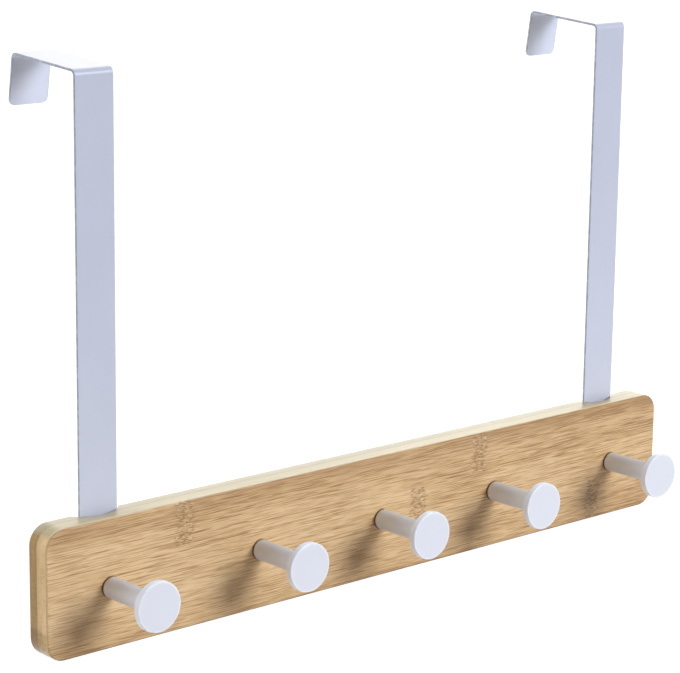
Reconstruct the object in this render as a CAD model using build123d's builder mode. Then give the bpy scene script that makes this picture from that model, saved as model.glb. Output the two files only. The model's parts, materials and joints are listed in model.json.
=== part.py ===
"""Over door hook rail: a bamboo board with a row of coat pegs, hung on a door by two bent steel straps.

Millimetres, +Z up.  X runs along the board, Y runs from the front (-Y) to the door (+Y).
The origin is midway between the straps, on the plane of the board's back (the door's face),
at the height of the inner corner of the hooks (the top of the door).
"""
import os
from math import cos, radians, sin, sqrt, tan

from build123d import *

# ---------------------------------------------------------------- board
board_len = 401.2          # along X
board_h = 62.0             # along Z
board_t = 13.8             # along Y, back face on Y = 0
board_top_z = -200.5       # top edge below the top of the door
corner_r = 9.5             # rounded corners seen from the front
edge_r = 0.9               # eased edges all round
board_mid_z = board_top_z - board_h / 2
front_y = -board_t

# ---------------------------------------------------------------- straps
strap_x = 164.9            # strap centre lines at +/- this
strap_w = 21.0
strap_t = 1.2
strap_y = -4.0             # front face of the leg, let into the back of the board
strap_foot_z = -250.0      # lower end of the leg, behind the board
plate_len = 48.1           # outside length of the top plate, corner to corner
plate_rise = 4.0           # degrees that the plate rises towards the back
lip_len = 24.8             # outside length of the return lip
lip_splay = 8.4            # degrees that the lip opens away from the door
bend_in_r = 1.8            # inside bend radius
bend_out_r = bend_in_r + strap_t
strap_corner_r = 3.2       # rounded free corners of the strip
strap_edge_r = 0.3         # softened edges under the paint

# ---------------------------------------------------------------- grooves in the board's back
groove_depth = 7.8         # at the middle of the round bottom
groove_r = 16.0            # the strap's edges bear on the two flanks

# ---------------------------------------------------------------- pegs
peg_x = (-165.5, -77.75, 0.0, 77.75, 165.5)
peg_z = board_mid_z - 1.6
stem_r = 5.0
head_r = 11.85
head_t = 3.4
peg_len = 36.5             # board face to the front of the head
stem_foot_r = 1.6          # rounded foot against the board
head_neck_r = 1.5          # fillet from the stem into the head
head_edge_r = 0.5          # rounded rim
peg_hole_r = 2.0
peg_hole_depth = 13.0

# ---------------------------------------------------------------- screws
clear_r = 2.25             # clearance hole for the peg screws
bore_r = 4.75              # counterbore for the heads behind the inner pegs
bore_depth = 4.0
m_head_r = 4.0
m_head_h = 2.4
m_shank_r = 1.95
m_len = 20.0
w_head_r = 3.5
w_head_h = 2.2
w_shank_r = 1.7
w_len = 9.4
w_tip = 3.0
w_hole_r = 2.0             # hole in the strap
w_pilot_r = 1.75           # hole in the board
w_pilot_end = 12.5
w_screw_z = board_top_z - 14.0

strap_back_y = strap_y + strap_t

os.makedirs("parts", exist_ok=True)


def facing_door(x, y, z):
    """Plane whose normal points at the door (+Y), for holes drilled from behind."""
    return Plane(origin=(x, y, z), x_dir=(1, 0, 0), z_dir=(0, 1, 0))


# ================================================================ board
with BuildPart() as bamboo_board:
    with BuildSketch(Plane.XZ):
        with Locations((0, board_mid_z)):
            RectangleRounded(board_len, board_h, corner_r)
    extrude(amount=board_t)
    fillet(bamboo_board.edges().group_by(Axis.Y)[0] + bamboo_board.edges().group_by(Axis.Y)[-1], edge_r)

    # a round-bottomed groove down the back for each strap
    half = sqrt(groove_r**2 - (groove_r - groove_depth) ** 2)
    for x in (-strap_x, strap_x):
        with BuildSketch(Plane(origin=(x, 0, board_mid_z - board_h / 2 - 1))):
            with BuildLine():
                ThreePointArc((-half, 0), (0, -groove_depth), (half, 0))
                Polyline((half, 0), (half, 2), (-half, 2), (-half, 0))
            make_face()
        extrude(amount=board_h + 2, mode=Mode.SUBTRACT)

    # holes for the peg screws, counterbored behind the three inner pegs
    with Locations(*[facing_door(x, 0, peg_z) for x in peg_x[1:4]]):
        CounterBoreHole(clear_r, bore_r, bore_depth)
    with Locations(*[facing_door(x, 0, peg_z) for x in (peg_x[0], peg_x[4])]):
        Hole(clear_r)
    # pilot holes for the wood screws
    with Locations(*[facing_door(x, 0, w_screw_z) for x in (-strap_x, strap_x)]):
        Hole(w_pilot_r, depth=w_pilot_end)

bamboo_board.part.label = "bamboo_board"
export_step(bamboo_board.part, "parts/bamboo_board.step")

# ================================================================ straps
# outline of the bent strip seen from the side, as (y, z): outside line up the leg, back along the
# plate and down the lip, then the inside line home
a, b = radians(plate_rise), radians(lip_splay)
corner_in_front = (strap_back_y, 0.0)
corner_out_front = (strap_y, (strap_t - strap_t * sin(a)) / cos(a))
corner_out_back = (corner_out_front[0] + plate_len * cos(a), corner_out_front[1] + plate_len * sin(a))
lip_out = (corner_out_back[0] + lip_len * sin(b), corner_out_back[1] - lip_len * cos(b))
lip_in = (lip_out[0] - strap_t * cos(b), lip_out[1] - strap_t * sin(b))
# inner corner at the back: where the underside of the plate meets the inside of the lip
inset = strap_t * tan((radians(90) - (b - a)) / 2)
corner_in_back = (
    corner_out_back[0] + strap_t * sin(a) - inset * cos(a),
    corner_out_back[1] - strap_t * cos(a) - inset * sin(a),
)

for side, sign in (("left", -1), ("right", 1)):
    with BuildPart() as strap:
        with BuildSketch(Plane.YZ.offset(sign * strap_x - strap_w / 2)) as outline:
            with BuildLine():
                Polyline(
                    (strap_y, strap_foot_z),
                    corner_out_front,
                    corner_out_back,
                    lip_out,
                    lip_in,
                    corner_in_back,
                    corner_in_front,
                    (strap_back_y, strap_foot_z),
                    close=True,
                )
            make_face()
            for corner, r in (
                (corner_out_front, bend_out_r),
                (corner_out_back, bend_out_r),
                (corner_in_front, bend_in_r),
                (corner_in_back, bend_in_r),
            ):
                fillet(outline.vertices().sort_by_distance(corner)[0], r)
        extrude(amount=strap_w)
        # rounded free corners at the foot and at the end of the lip
        fillet(strap.edges().filter_by(lambda e: abs(e.length - strap_t) < 0.01), strap_corner_r)
        # softened edges round both faces of the strip
        rims = strap.edges().filter_by(lambda e: abs(abs(e.center().X) - strap_x) > strap_w / 2 - strap_corner_r)
        ends = strap.edges().filter_by(Axis.X).group_by(SortBy.LENGTH)[0]
        fillet(rims + ends, strap_edge_r)
        with Locations(facing_door(sign * peg_x[4], strap_back_y, peg_z)):
            Hole(clear_r, depth=2 * strap_t)
        with Locations(facing_door(sign * strap_x, strap_back_y, w_screw_z)):
            Hole(w_hole_r, depth=2 * strap_t)
    strap.part.label = f"{side}_strap"
    export_step(strap.part, f"parts/{side}_strap.step")

# ================================================================ pegs
head_back = peg_len - head_t
for number, x in enumerate(peg_x, start=1):
    # half section: first axis is the radius, second runs out of the board towards the head
    section = Plane(origin=(x, front_y, peg_z), x_dir=(1, 0, 0), z_dir=(0, 0, -1))
    with BuildPart() as coat_peg:
        with BuildSketch(section):
            with BuildLine():
                Polyline((stem_r - stem_foot_r, 0), (0, 0), (0, peg_len), (head_r - head_edge_r, peg_len))
                RadiusArc((head_r - head_edge_r, peg_len), (head_r, peg_len - head_edge_r), head_edge_r)
                Line((head_r, peg_len - head_edge_r), (head_r, head_back + head_edge_r))
                RadiusArc((head_r, head_back + head_edge_r), (head_r - head_edge_r, head_back), head_edge_r)
                Line((head_r - head_edge_r, head_back), (stem_r + head_neck_r, head_back))
                RadiusArc((stem_r + head_neck_r, head_back), (stem_r, head_back - head_neck_r), -head_neck_r)
                Line((stem_r, head_back - head_neck_r), (stem_r, stem_foot_r))
                RadiusArc((stem_r, stem_foot_r), (stem_r - stem_foot_r, 0), stem_foot_r)
            make_face()
        revolve(axis=Axis((x, front_y, peg_z), (0, -1, 0)))
        # tapped hole for the screw, with a drill point
        with Locations(facing_door(x, front_y, peg_z)):
            Hole(peg_hole_r, depth=peg_hole_depth)
        with Locations(facing_door(x, front_y - peg_hole_depth, peg_z)):
            Cone(
                peg_hole_r * 0.02,
                peg_hole_r,
                peg_hole_r * 0.6,
                align=(Align.CENTER, Align.CENTER, Align.MAX),
                mode=Mode.SUBTRACT,
            )
    coat_peg.part.label = f"coat_peg_{number}"
    export_step(coat_peg.part, f"parts/coat_peg_{number}.step")

# ================================================================ peg screws
# the outer two bear on the straps, the inner three on the floors of their counterbores
seats = [strap_back_y, -bore_depth, -bore_depth, -bore_depth, strap_back_y]
with BuildPart() as peg_screws:
    with Locations(*[facing_door(x, y, peg_z) for x, y in zip(peg_x, seats)]):
        Cylinder(m_head_r, m_head_h, align=(Align.CENTER, Align.CENTER, Align.MIN))
    fillet(peg_screws.edges().filter_by(GeomType.CIRCLE).filter_by(
        lambda e: min(abs(e.center().Y - y - m_head_h) for y in seats) < 0.01), 1.3)
    with Locations(*[facing_door(x, y, peg_z) for x, y in zip(peg_x, seats)]):
        Cylinder(m_shank_r, m_len, align=(Align.CENTER, Align.CENTER, Align.MAX))
    chamfer(peg_screws.edges().filter_by(GeomType.CIRCLE).filter_by(
        lambda e: min(abs(e.center().Y - y + m_len) for y in seats) < 0.01), 0.5)
    with Locations(*[facing_door(x, y + m_head_h, peg_z) for x, y in zip(peg_x, seats)]):
        Box(4.4, 0.9, 1.5, align=(Align.CENTER, Align.CENTER, Align.MAX), mode=Mode.SUBTRACT)
        Box(0.9, 4.4, 1.5, align=(Align.CENTER, Align.CENTER, Align.MAX), mode=Mode.SUBTRACT)
peg_screws.part.label = "peg_screws"
export_step(peg_screws.part, "parts/peg_screws.step")

# ================================================================ strap screws
w_places = [(-strap_x, strap_back_y), (strap_x, strap_back_y)]
with BuildPart() as strap_screws:
    with Locations(*[facing_door(x, y, w_screw_z) for x, y in w_places]):
        Cylinder(w_head_r, w_head_h, align=(Align.CENTER, Align.CENTER, Align.MIN))
    fillet(strap_screws.edges().filter_by(GeomType.CIRCLE).group_by(Axis.Y)[-1], 1.2)
    with Locations(*[facing_door(x, y, w_screw_z) for x, y in w_places]):
        Cylinder(w_shank_r, w_len - w_tip, align=(Align.CENTER, Align.CENTER, Align.MAX))
    with Locations(*[facing_door(x, y - w_len + w_tip, w_screw_z) for x, y in w_places]):
        Cone(0.15, w_shank_r, w_tip, align=(Align.CENTER, Align.CENTER, Align.MAX))
    with Locations(*[facing_door(x, y + w_head_h, w_screw_z) for x, y in w_places]):
        Box(3.8, 0.8, 1.4, align=(Align.CENTER, Align.CENTER, Align.MAX), mode=Mode.SUBTRACT)
        Box(0.8, 3.8, 1.4, align=(Align.CENTER, Align.CENTER, Align.MAX), mode=Mode.SUBTRACT)
strap_screws.part.label = "strap_screws"
export_step(strap_screws.part, "parts/strap_screws.step")
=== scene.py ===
import json
from math import pi
import bpy
from mathutils import Matrix, Vector


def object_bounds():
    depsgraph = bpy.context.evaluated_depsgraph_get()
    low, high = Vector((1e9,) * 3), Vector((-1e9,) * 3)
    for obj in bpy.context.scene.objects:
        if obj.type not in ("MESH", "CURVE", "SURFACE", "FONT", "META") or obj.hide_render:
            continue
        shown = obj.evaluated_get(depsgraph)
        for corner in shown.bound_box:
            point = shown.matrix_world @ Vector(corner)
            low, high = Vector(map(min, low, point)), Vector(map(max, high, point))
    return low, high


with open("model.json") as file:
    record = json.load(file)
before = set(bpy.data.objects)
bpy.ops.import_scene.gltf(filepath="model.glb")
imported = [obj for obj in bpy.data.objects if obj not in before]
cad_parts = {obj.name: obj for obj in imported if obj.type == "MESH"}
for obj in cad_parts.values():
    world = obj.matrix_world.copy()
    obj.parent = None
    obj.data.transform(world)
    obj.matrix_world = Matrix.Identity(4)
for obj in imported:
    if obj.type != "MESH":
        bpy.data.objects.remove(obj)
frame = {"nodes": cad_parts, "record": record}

cad_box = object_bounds()
scene = bpy.context.scene
nodes = frame["nodes"]

# board, in millimetres: middle height, glue line between the plies
MID_Z, PLY_Y = -231.5, -6.2
# axes of the pegs and straps, in millimetres
PEG_X, PEG_Z, STRAP_X = (-165.5, -77.75, 0.0, 77.75, 165.5), -233.1, 164.9


class Net:
    """One material's nodes, with short calls for the kinds used here."""

    def __init__(self, name):
        self.mat = bpy.data.materials.new(name)
        self.mat.use_nodes = True
        self.tree = self.mat.node_tree
        self.tree.nodes.clear()
        self.bsdf = self.add("ShaderNodeBsdfPrincipled")
        out = self.add("ShaderNodeOutputMaterial")
        self.tree.links.new(self.bsdf.outputs[0], out.inputs[0])

    def add(self, kind, **props):
        node = self.tree.nodes.new(kind)
        for key, value in props.items():
            setattr(node, key, value)
        return node

    def put(self, socket, value):
        if isinstance(value, bpy.types.NodeSocket):
            self.tree.links.new(value, socket)
        else:
            socket.default_value = value

    def shader(self, **values):
        for key, value in values.items():
            self.put(self.bsdf.inputs[key.replace("_", " ")], value)

    def math(self, op, a, b=0.0, clamp=False):
        node = self.add("ShaderNodeMath", operation=op, use_clamp=clamp)
        self.put(node.inputs[0], a)
        self.put(node.inputs[1], b)
        return node.outputs[0]

    def plus(self, *terms):
        total = terms[0]
        for term in terms[1:]:
            total = self.math("ADD", total, term)
        return total

    def times(self, *terms):
        total = terms[0]
        for term in terms[1:]:
            total = self.math("MULTIPLY", total, term)
        return total

    def swing(self, value, amount):
        """Noise about one half, turned into a swing about zero."""
        return self.math("MULTIPLY", self.math("SUBTRACT", value, 0.5), amount)

    def step(self, value, low, high):
        """Smooth step from 0 at low to 1 at high; low may be the larger."""
        node = self.add("ShaderNodeMapRange", interpolation_type="SMOOTHSTEP")
        if low > high:
            self.put(node.inputs["Value"], self.math("MULTIPLY", value, -1.0))
            low, high = -low, -high
        else:
            self.put(node.inputs["Value"], value)
        node.inputs["From Min"].default_value = low
        node.inputs["From Max"].default_value = high
        return node.outputs["Result"]

    def millimetres(self):
        place = self.add("ShaderNodeTexCoord").outputs["Object"]
        node = self.add("ShaderNodeVectorMath", operation="SCALE")
        self.put(node.inputs[0], place)
        node.inputs["Scale"].default_value = 1000.0
        return node.outputs[0]

    def split(self, vector):
        node = self.add("ShaderNodeSeparateXYZ")
        self.put(node.inputs[0], vector)
        return node.outputs

    def join(self, x, y, z):
        node = self.add("ShaderNodeCombineXYZ")
        for socket, value in zip(node.inputs, (x, y, z)):
            self.put(socket, value)
        return node.outputs[0]

    def noise(self, xyz, size, seed=0.0, detail=2.0, rough=0.5):
        """Noise whose grain is size = (x, y, z) millimetres."""
        vector = self.join(*(self.math("DIVIDE", c, s) for c, s in zip(xyz, size)))
        node = self.add("ShaderNodeTexNoise", noise_dimensions="4D")
        self.put(node.inputs["Vector"], vector)
        self.put(node.inputs["W"], seed)
        node.inputs["Scale"].default_value = 1.0
        node.inputs["Detail"].default_value = detail
        node.inputs["Roughness"].default_value = rough
        return node.outputs["Fac"]

    def ramp(self, value, *stops):
        node = self.add("ShaderNodeValToRGB")
        self.put(node.inputs[0], value)
        band = node.color_ramp
        while len(band.elements) < len(stops):
            band.elements.new(0.5)
        for element, (place, colour) in zip(band.elements, stops):
            element.position = place
            element.color = (*colour, 1.0)
        return node.outputs[0]

    def mix(self, amount, a, b, kind="MIX"):
        node = self.add("ShaderNodeMix", data_type="RGBA", blend_type=kind)
        self.put(node.inputs[0], amount)
        for socket, value in ((node.inputs[6], a), (node.inputs[7], b)):
            self.put(socket, (*value, 1.0) if isinstance(value, tuple) else value)
        return node.outputs[2]

    def choose(self, amount, a, b):
        """Number a where amount is 0, b where it is 1."""
        node = self.add("ShaderNodeMix", data_type="FLOAT")
        self.put(node.inputs[0], amount)
        self.put(node.inputs[2], a)
        self.put(node.inputs[3], b)
        return node.outputs[0]

    def bump(self, height, depth_mm, strength):
        node = self.add("ShaderNodeBump")
        self.put(node.inputs["Height"], height)
        node.inputs["Distance"].default_value = depth_mm / 1000.0
        node.inputs["Strength"].default_value = strength
        self.tree.links.new(node.outputs[0], self.bsdf.inputs["Normal"])


def from_peg_axis(m, q):
    """Distance from the nearest peg's axis."""
    sideways = None
    for x_peg in PEG_X:
        off = m.math("ABSOLUTE", m.math("SUBTRACT", q[0], x_peg))
        sideways = off if sideways is None else m.math("MINIMUM", sideways, off)
    upward = m.math("SUBTRACT", q[2], PEG_Z)
    return m.math("SQRT", m.plus(m.times(sideways, sideways), m.times(upward, upward)))


def painted_peg_rim_highlight(m, q):
    """1 on the front edge of a peg's head, which is painted lighter there as a painted highlight."""
    return m.times(m.step(from_peg_axis(m, q), 10.6, 11.3), m.step(q[1], -49.5, -49.9))


def painted_strap_edge_shade(m, q):
    """1 on the two long edges of a strap, which are painted darker there as painted shade."""
    off = m.math("SUBTRACT", m.math("ABSOLUTE", q[0]), STRAP_X)
    return m.step(m.math("ABSOLUTE", off), 10.15, 10.45)


def bamboo():
    m = Net("lacquered_bamboo")
    x, y, z_all = m.split(m.millimetres())
    z = m.math("SUBTRACT", z_all, MID_Z)
    normal = m.split(m.add("ShaderNodeNewGeometry").outputs["Normal"])
    on_end = m.step(m.math("ABSOLUTE", normal[0]), 0.50, 0.85)
    on_edge = m.step(m.math("ABSOLUTE", normal[2]), 0.52, 0.84)

    # two plies of flat strips: three strips in front, four behind
    back = m.step(y, PLY_Y - 0.15, PLY_Y + 0.15)
    over = lambda level: m.math("GREATER_THAN", z, level)
    front_strip = m.plus(over(-9.2), over(9.8))
    back_strip = m.plus(over(-21.5), over(-1.5), over(18.5), 5.0)
    strip = m.choose(m.math("GREATER_THAN", y, PLY_Y), front_strip, back_strip)
    seed = m.math("MULTIPLY", strip, 7.13)

    # the fibres run along x and wander a little: short thin brown lines on a paler ground
    sway = m.plus(m.swing(m.noise((x, y, z), (80, 30, 24), seed, 1.0), 1.6),
                  m.swing(m.noise((x, y, z), (26, 9, 6.0), m.plus(seed, 5.0), 1.0), 0.45))
    p = (x, y, m.plus(z, sway))
    band = m.noise(p, (110, 9, 7.5), m.plus(seed, 17.0), 0.5)
    patch = m.noise(p, (34, 6, 3.6), m.plus(seed, 23.0), 1.0)
    streak = m.noise(p, (19, 0.45, 0.36), seed, 0.0)
    thread = m.noise(p, (11, 0.32, 0.25), m.plus(seed, 9.0), 0.0)
    fibre = m.noise(p, (7, 0.26, 0.21), m.plus(seed, 3.0), 1.0, 0.6)
    line = m.step(streak, 0.53, 0.62)
    thin = m.step(thread, 0.52, 0.62)
    depth = m.plus(0.26, m.times(m.step(patch, 0.30, 0.70), 0.14))
    # tone of each strip: the upper strip a little darker and darker along its top 5 mm; painted shade makes the face
    # darker towards the bottom; the face is also lighter towards the left end and darker towards the right end
    strip_tone_and_painted_shade = m.plus(0.745, m.times(over(9.8), -0.055), m.times(m.step(z, 19.0, 29.5), -0.21),
                        m.times(m.step(z, -9.0, -25.0), -0.11),
                        m.times(m.step(x, -90.0, -155.0), 0.075), m.times(m.step(x, 115.0, 190.0), -0.065))
    tone = m.plus(strip_tone_and_painted_shade, m.swing(band, 0.38), m.swing(fibre, 0.50),
                  m.times(line, depth, -1.0), m.times(thin, -0.26))
    face = m.ramp(tone,
                  (0.10, (0.372, 0.196, 0.068)),
                  (0.36, (0.563, 0.337, 0.139)),
                  (0.60, (0.743, 0.492, 0.235)),
                  (0.90, (0.884, 0.643, 0.348)))
    dark = m.times(line, depth)
    # redder patches along the top of the upper strip
    blush = m.times(m.step(z, 17.0, 31.0), m.step(m.noise((x, y, z), (52, 20, 9), 83.0, 1.0), 0.40, 0.62))
    face = m.mix(m.times(blush, 0.42), face, (0.507, 0.297, 0.148))

    # node marks: a ragged column of brown dashes and pale flecks across one strip
    speck = m.noise((x, y, z), (2.7, 1.0, 0.60), 31.0, 1.0, 0.6)
    fleck = m.noise((x, y, z), (2.4, 1.2, 0.70), 37.0, 1.0, 0.6)
    ragged = m.plus(m.swing(m.noise((x, y, z), (60, 6, 1.1), 47.0, 1.0), 6.0),
                    m.swing(m.noise((x, y, z), (60, 12, 9.0), 53.0, 1.0), 4.0))
    column = None
    for x_mark, ply, low, high in ((-123.0, 0, 9.8, 31.5), (24.5, 0, -9.2, 9.8),
                                   (67.0, 0, 9.8, 31.5), (153.5, 0, -31.5, -9.2),
                                   (-60.0, 1, -1.5, 18.5), (38.0, 1, 18.5, 31.5),
                                   (-142.0, 1, -21.5, -1.5), (118.0, 1, -1.5, 18.5),
                                   (12.0, 1, -31.5, -21.5)):
        away = m.math("ABSOLUTE", m.plus(x, ragged, -x_mark))
        mark = m.times(m.step(away, 6.2, 3.8), over(low), m.math("LESS_THAN", z, high),
                       back if ply else m.math("SUBTRACT", 1.0, back))
        column = mark if column is None else m.math("MAXIMUM", column, mark)
    face = m.mix(m.times(column, 0.35), face, (0.610, 0.405, 0.198))
    face = m.mix(m.times(column, m.step(speck, 0.46, 0.56), 0.76), face, (0.345, 0.178, 0.062))
    face = m.mix(m.times(column, m.step(fleck, 0.44, 0.34), 0.55), face, (0.880, 0.660, 0.370))

    # the back ply is a browner batch; sawn ends show upright grain, planed edges are pale
    face = m.mix(m.times(back, 0.75), face, m.mix(1.0, face, (0.86, 0.80, 0.72), "MULTIPLY"))
    q = (x, y, z)
    end_tone = m.plus(m.swing(m.noise(q, (6, 1.6, 9.0), 61.0, 2.0, 0.55), 0.6),
                      m.swing(m.noise(q, (6, 1.8, 0.7), 67.0, 2.0), 0.7),
                      m.swing(m.noise(q, (20, 5, 14), 71.0, 1.0), 0.6),
                      m.times(m.step(z, -15.0, -18.5), -0.34), 0.56)
    end_front = m.ramp(end_tone, (0.10, (0.448, 0.280, 0.094)), (0.50, (0.770, 0.523, 0.242)),
                       (0.85, (0.850, 0.616, 0.325)))
    end_back = m.ramp(end_tone, (0.10, (0.275, 0.153, 0.045)), (0.50, (0.400, 0.238, 0.073)),
                      (0.85, (0.503, 0.318, 0.119)))
    toward_seam = m.times(m.step(y, -11.5, -5.8), 0.55)
    end_front = m.mix(toward_seam, end_front, m.mix(1.0, end_front, (0.72, 0.70, 0.68), "MULTIPLY"))
    face = m.mix(on_end, face, m.mix(back, end_front, end_back))
    edge_tone = m.plus(m.swing(streak, 0.8), m.swing(fibre, 0.5), m.swing(band, 0.4), 0.5)
    edge_front = m.ramp(edge_tone, (0.15, (0.460, 0.365, 0.190)), (0.60, (0.585, 0.490, 0.288)))
    edge_back = m.ramp(edge_tone, (0.15, (0.410, 0.340, 0.200)), (0.60, (0.540, 0.470, 0.300)))
    edge = m.mix(back, edge_front, edge_back)
    near_seam = m.times(m.step(m.math("ABSOLUTE", m.plus(y, 5.4)), 2.4, 0.8), 0.55)
    edge = m.mix(near_seam, edge, m.mix(1.0, edge, (0.82, 0.85, 0.88), "MULTIPLY"))
    face = m.mix(on_edge, face, edge)

    # painted highlight: the front arris is painted paler, standing in for the bright reflection along it
    painted_arris_highlight = m.times(m.step(y, -12.2, -13.0), m.step(m.math("MAXIMUM", on_end, on_edge), 0.0, 0.5), 0.65)
    face = m.mix(painted_arris_highlight, face, m.mix(on_edge, (0.830, 0.600, 0.300), (0.800, 0.710, 0.470)))

    # thin dark glue line between the plies
    seam = m.step(m.math("ABSOLUTE", m.math("SUBTRACT", y, PLY_Y)), 0.22, 0.08)
    seam = m.times(seam, m.math("MAXIMUM", on_end, on_edge), 0.45)
    face = m.mix(seam, face, (0.240, 0.150, 0.075))

    # painted shade: a dark ring on the wood round each peg's foot, standing in for its contact shadow
    painted_foot_shade = m.step(from_peg_axis(m, (x, y, z_all)), 5.5, 4.7)
    painted_foot_shade = m.times(painted_foot_shade, m.math("LESS_THAN", y, -13.0))
    face = m.mix(m.times(painted_foot_shade, 0.85), face, (0.130, 0.070, 0.030))

    m.shader(Base_Color=face, IOR=1.36)
    m.shader(Roughness=m.plus(0.31, m.swing(fibre, 0.16), m.swing(patch, 0.08), m.times(dark, 0.18)))
    m.bump(m.plus(m.times(streak, 0.5), m.times(fibre, 0.5), m.times(dark, -0.8)), 0.12, 0.35)
    return m.mat


def powder_coat(name, light, shade, seed, rough, edge, painted_edge_colour):
    """Satin white powder coat: fine orange peel, a faint cloudiness, and edges painted in the edge colour: a painted
    highlight on the pegs' rims, painted shade on the straps' edges.
    """
    m = Net(name)
    q = m.split(m.millimetres())
    cloud = m.noise(q, (22, 22, 30), seed, 2.0, 0.55)
    peel = m.noise(q, (0.9, 0.9, 0.9), seed + 5.0, 2.0, 0.45)
    grit = m.noise(q, (0.22, 0.22, 0.22), seed + 9.0, 1.0)
    tone = m.plus(0.5, m.swing(cloud, 0.9), m.swing(grit, 0.25))
    # painted light and shade on the edges: lighter on the pegs' rims, darker on the straps' edges
    painted_edge_mask = m.times(edge(m, q), m.step(m.noise(q, (3, 3, 3), seed + 13.0, 2.0), 0.15, 0.60))
    m.shader(Base_Color=m.mix(painted_edge_mask, m.ramp(tone, (0.25, shade), (0.75, light)), painted_edge_colour), IOR=1.5)
    m.shader(Roughness=m.plus(rough, m.swing(peel, 0.10), m.swing(cloud, 0.06), m.times(painted_edge_mask, -0.08)))
    m.bump(m.plus(m.times(peel, 0.8), m.times(grit, 0.2)), 0.035, 0.35)
    return m.mat


def zinc_plate():
    """Bright zinc on turned steel, with a light yellow cast and fine turning marks."""
    m = Net("zinc_plated_steel")
    q = m.split(m.millimetres())
    blotch = m.noise(q, (2.2, 2.2, 2.2), 3.0, 2.0)
    lines = m.noise(q, (0.18, 3.0, 0.18), 13.0, 1.0)
    tone = m.plus(0.5, m.swing(blotch, 0.8), m.swing(lines, 0.35))
    m.shader(Base_Color=m.ramp(tone, (0.2, (0.50, 0.50, 0.49)), (0.8, (0.70, 0.70, 0.68))))
    m.shader(Metallic=1.0)
    m.shader(Roughness=m.plus(0.33, m.swing(blotch, 0.2), m.swing(lines, 0.15)))
    m.bump(m.plus(blotch, m.times(lines, 0.5)), 0.02, 0.3)
    return m.mat


finish = {
    "bamboo": bamboo(),
    "white_paint": powder_coat("strap_powder_coat", (0.666, 0.686, 0.748), (0.641, 0.661, 0.723), 2.0, 0.36,
                               painted_strap_edge_shade, (0.380, 0.405, 0.480)),
    "white_peg": powder_coat("peg_powder_coat", (0.850, 0.864, 0.877), (0.820, 0.834, 0.847), 41.0, 0.42,
                             painted_peg_rim_highlight, (0.960, 0.975, 0.990)),
    "screw_steel": zinc_plate(),
}
for row in frame["record"]["subparts"]:
    obj = nodes[row["node"]]
    mesh_slots = obj.material_slots
    if not mesh_slots:
        obj.data.materials.append(finish[row["material_slot"]])
    for slot in mesh_slots:
        slot.material = finish[row["material_slot"]]

# floor: plain white, under the lowest point of the part
low_z = cad_box[0][2]
size = 12.0
mesh = bpy.data.meshes.new("floor")
mesh.from_pydata([(-size, -size, low_z), (size, -size, low_z), (size, size, low_z), (-size, size, low_z)], [], [(0, 1, 2, 3)])
floor = bpy.data.objects.new("floor", mesh)
scene.collection.objects.link(floor)
ground = Net("white_floor")
ground.shader(Base_Color=(0.25, 0.25, 0.25, 1.0), Roughness=0.9, Emission_Color=(1.0, 1.0, 1.0, 1.0), Emission_Strength=0.90)
mesh.materials.append(ground.mat)
floor.visible_diffuse = False

# plain white backdrop all round: seen only by the camera, it lights and hides nothing
ring = [Vector((size * 0.98, 0.0, 0.0))]
ring[0].z = low_z
turn = Matrix.Rotation(2.0 * pi / 48, 3, "Z")
while len(ring) < 48:
    ring.append(turn @ ring[-1])
rise = Vector((0.0, 0.0, 9.0))
mesh = bpy.data.meshes.new("backdrop")
mesh.from_pydata(ring + [corner + rise for corner in ring], [],
                 [(i, (i + 1) % 48, (i + 1) % 48 + 48, i + 48) for i in range(48)])
sheet = bpy.data.objects.new("backdrop", mesh)
scene.collection.objects.link(sheet)
paper = Net("white_backdrop")
paper.shader(Base_Color=(0.0, 0.0, 0.0, 1.0), Roughness=0.9, Emission_Color=(1.0, 1.0, 1.0, 1.0), Emission_Strength=1.05)
mesh.materials.append(paper.mat)
sheet.visible_diffuse = sheet.visible_glossy = sheet.visible_transmission = sheet.visible_shadow = False

# table top that the satin paint mirrors: bright close to the part, fading towards the front
mesh = bpy.data.meshes.new("table")
mesh.from_pydata([(x, y, low_z + 0.001) for x, y in ((-2, -2), (2, -2), (2, 0.5), (-2, 0.5))], [], [(0, 1, 2, 3)])
table = bpy.data.objects.new("table", mesh)
scene.collection.objects.link(table)
top = Net("table_top")
_, along, _ = top.split(top.millimetres())
top.shader(Base_Color=(0.0, 0.0, 0.0, 1.0), Roughness=1.0, IOR=1.0, Emission_Color=(1.0, 1.0, 1.0, 1.0))
in_front = top.plus(0.9, top.step(along, 90.0, -60.0))
top.shader(Emission_Strength=top.times(top.step(along, -750.0, -160.0), in_front))
mesh.materials.append(top.mat)
table.visible_camera = table.visible_diffuse = table.visible_transmission = table.visible_shadow = False
floor.visible_glossy = False

# surroundings: a bright white backdrop behind and to the right, a dim warm room in front, cooler on the left
world = bpy.data.worlds.new("studio")
scene.world = world
world.use_nodes = True
tree = world.node_tree
sky = tree.nodes["Background"]
way = tree.nodes.new("ShaderNodeTexCoord")
parts = tree.nodes.new("ShaderNodeSeparateXYZ")
tree.links.new(way.outputs["Generated"], parts.inputs[0])


def scale(value, low, high, out_low, out_high):
    node = tree.nodes.new("ShaderNodeMapRange")
    node.interpolation_type = "SMOOTHSTEP"
    tree.links.new(value, node.inputs["Value"])
    for key, number in (("From Min", low), ("From Max", high), ("To Min", out_low), ("To Max", out_high)):
        node.inputs[key].default_value = number
    return node.outputs["Result"]


def arithmetic(op, a, b):
    node = tree.nodes.new("ShaderNodeMath")
    node.operation = op
    for socket, value in zip(node.inputs, (a, b)):
        if isinstance(value, float):
            socket.default_value = value
        else:
            tree.links.new(value, socket)
    return node.outputs[0]


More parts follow.
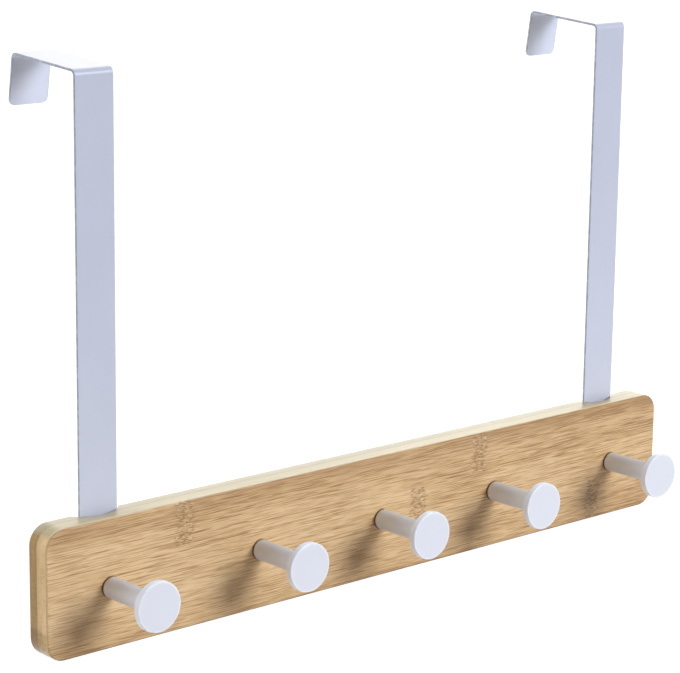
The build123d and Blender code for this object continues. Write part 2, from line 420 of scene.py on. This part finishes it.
# the bright half reaches forward on the left, stops short of overhead and is dimmer low down
to_left = arithmetic("MULTIPLY", arithmetic("MINIMUM", parts.outputs[0], 0.0), -0.14)
to_top = arithmetic("MULTIPLY", arithmetic("MAXIMUM", parts.outputs[2], 0.0), -0.40)
bright = arithmetic("ADD", parts.outputs[1], arithmetic("ADD", to_left, to_top))
behind = scale(bright, -0.26, 0.30, 0.0, 1.0)
room = scale(parts.outputs[0], -1.0, 1.0, 1.0, 0.6)
window = scale(parts.outputs[0], -1.0, 0.2, 1.0, 0.0)
below = scale(parts.outputs[2], -0.70, -0.20, 0.10, 1.0)
backdrop = arithmetic("MULTIPLY", scale(parts.outputs[0], 0.30, 0.85, 1.25, 3.20), below)


def tinted(value, colour):
    node = tree.nodes.new("ShaderNodeVectorMath")
    node.operation = "SCALE"
    node.inputs[0].default_value = colour
    tree.links.new(value, node.inputs["Scale"])
    return node.outputs[0]


dim = tree.nodes.new("ShaderNodeVectorMath")
dim.operation = "ADD"
tree.links.new(tinted(room, (0.134, 0.105, 0.089)), dim.inputs[0])
tree.links.new(tinted(window, (0.044, 0.068, 0.112)), dim.inputs[1])
shine = tree.nodes.new("ShaderNodeMix")
shine.data_type = "RGBA"
tree.links.new(behind, shine.inputs[0])
tree.links.new(dim.outputs[0], shine.inputs[6])
tree.links.new(tinted(backdrop, (1.03, 1.01, 0.97)), shine.inputs[7])
tree.links.new(shine.outputs[2], sky.inputs["Color"])
sky.inputs["Strength"].default_value = 1.0


def softbox(name, place, target, width, height, power, colour, glossy=True, spread=pi):
    lamp = bpy.data.lights.new(name, "AREA")
    lamp.shape = "RECTANGLE"
    lamp.size, lamp.size_y, lamp.energy, lamp.color = width, height, power, colour
    lamp.spread = spread
    obj = bpy.data.objects.new(name, lamp)
    aim = (Vector(target) - Vector(place)).to_track_quat("-Z", "Y")
    obj.matrix_world = Matrix.LocRotScale(Vector(place), aim, None)
    obj.visible_camera = False
    obj.visible_glossy = glossy
    scene.collection.objects.link(obj)


softbox("key", (1.5, -3.29, 1.39), (0.0, -0.02, -0.20), 1.65, 1.65, 136.0, (0.900, 0.965, 1.120))
softbox("table_bounce", (0.0, -0.164, low_z + 0.002), (0.0, -0.164, 1.0), 1.0, 0.30, 0.135, (1.12, 0.98, 0.88), False)
# a cool panel high up behind on the left catches the rims, and a narrow strip below the hooks lifts the lips
softbox("rim_panel", (-2.05, 1.75, 1.45), (0.0, -0.02, -0.20), 1.8, 1.8, 25.0, (0.84, 0.97, 1.24), False)
softbox("hook_strip", (0.0, 0.018, -0.235), (0.0, 0.044, -0.02), 0.42, 0.02, 0.042, (0.98, 1.00, 1.06), False, 0.52)

# camera of the photograph
right = (0.7509242713, -0.6602776352, 0.0120906224)
down = (-0.1397646329, -0.1767926555, -0.9742741936)
ahead = (0.6454289939, 0.7299162975, -0.2250413573)
eye = (-0.8053657659, -0.8918961592, 0.1343489409)
camera = bpy.data.objects.new("camera", bpy.data.cameras.new("camera"))
scene.collection.objects.link(camera)
camera.matrix_world = Matrix([(right[i], -down[i], -ahead[i], eye[i]) for i in range(3)] + [(0, 0, 0, 1)])
camera.data.sensor_fit = "HORIZONTAL"
camera.data.sensor_width = 36.0
camera.data.lens = 2510.6736 * 36.0 / 680.0
camera.data.clip_start, camera.data.clip_end = 0.05, 60.0
scene.camera = camera

scene.view_settings.view_transform = "Standard"
scene.view_settings.look = "None"
scene.view_settings.exposure = 0.0
scene.view_settings.gamma = 1.0
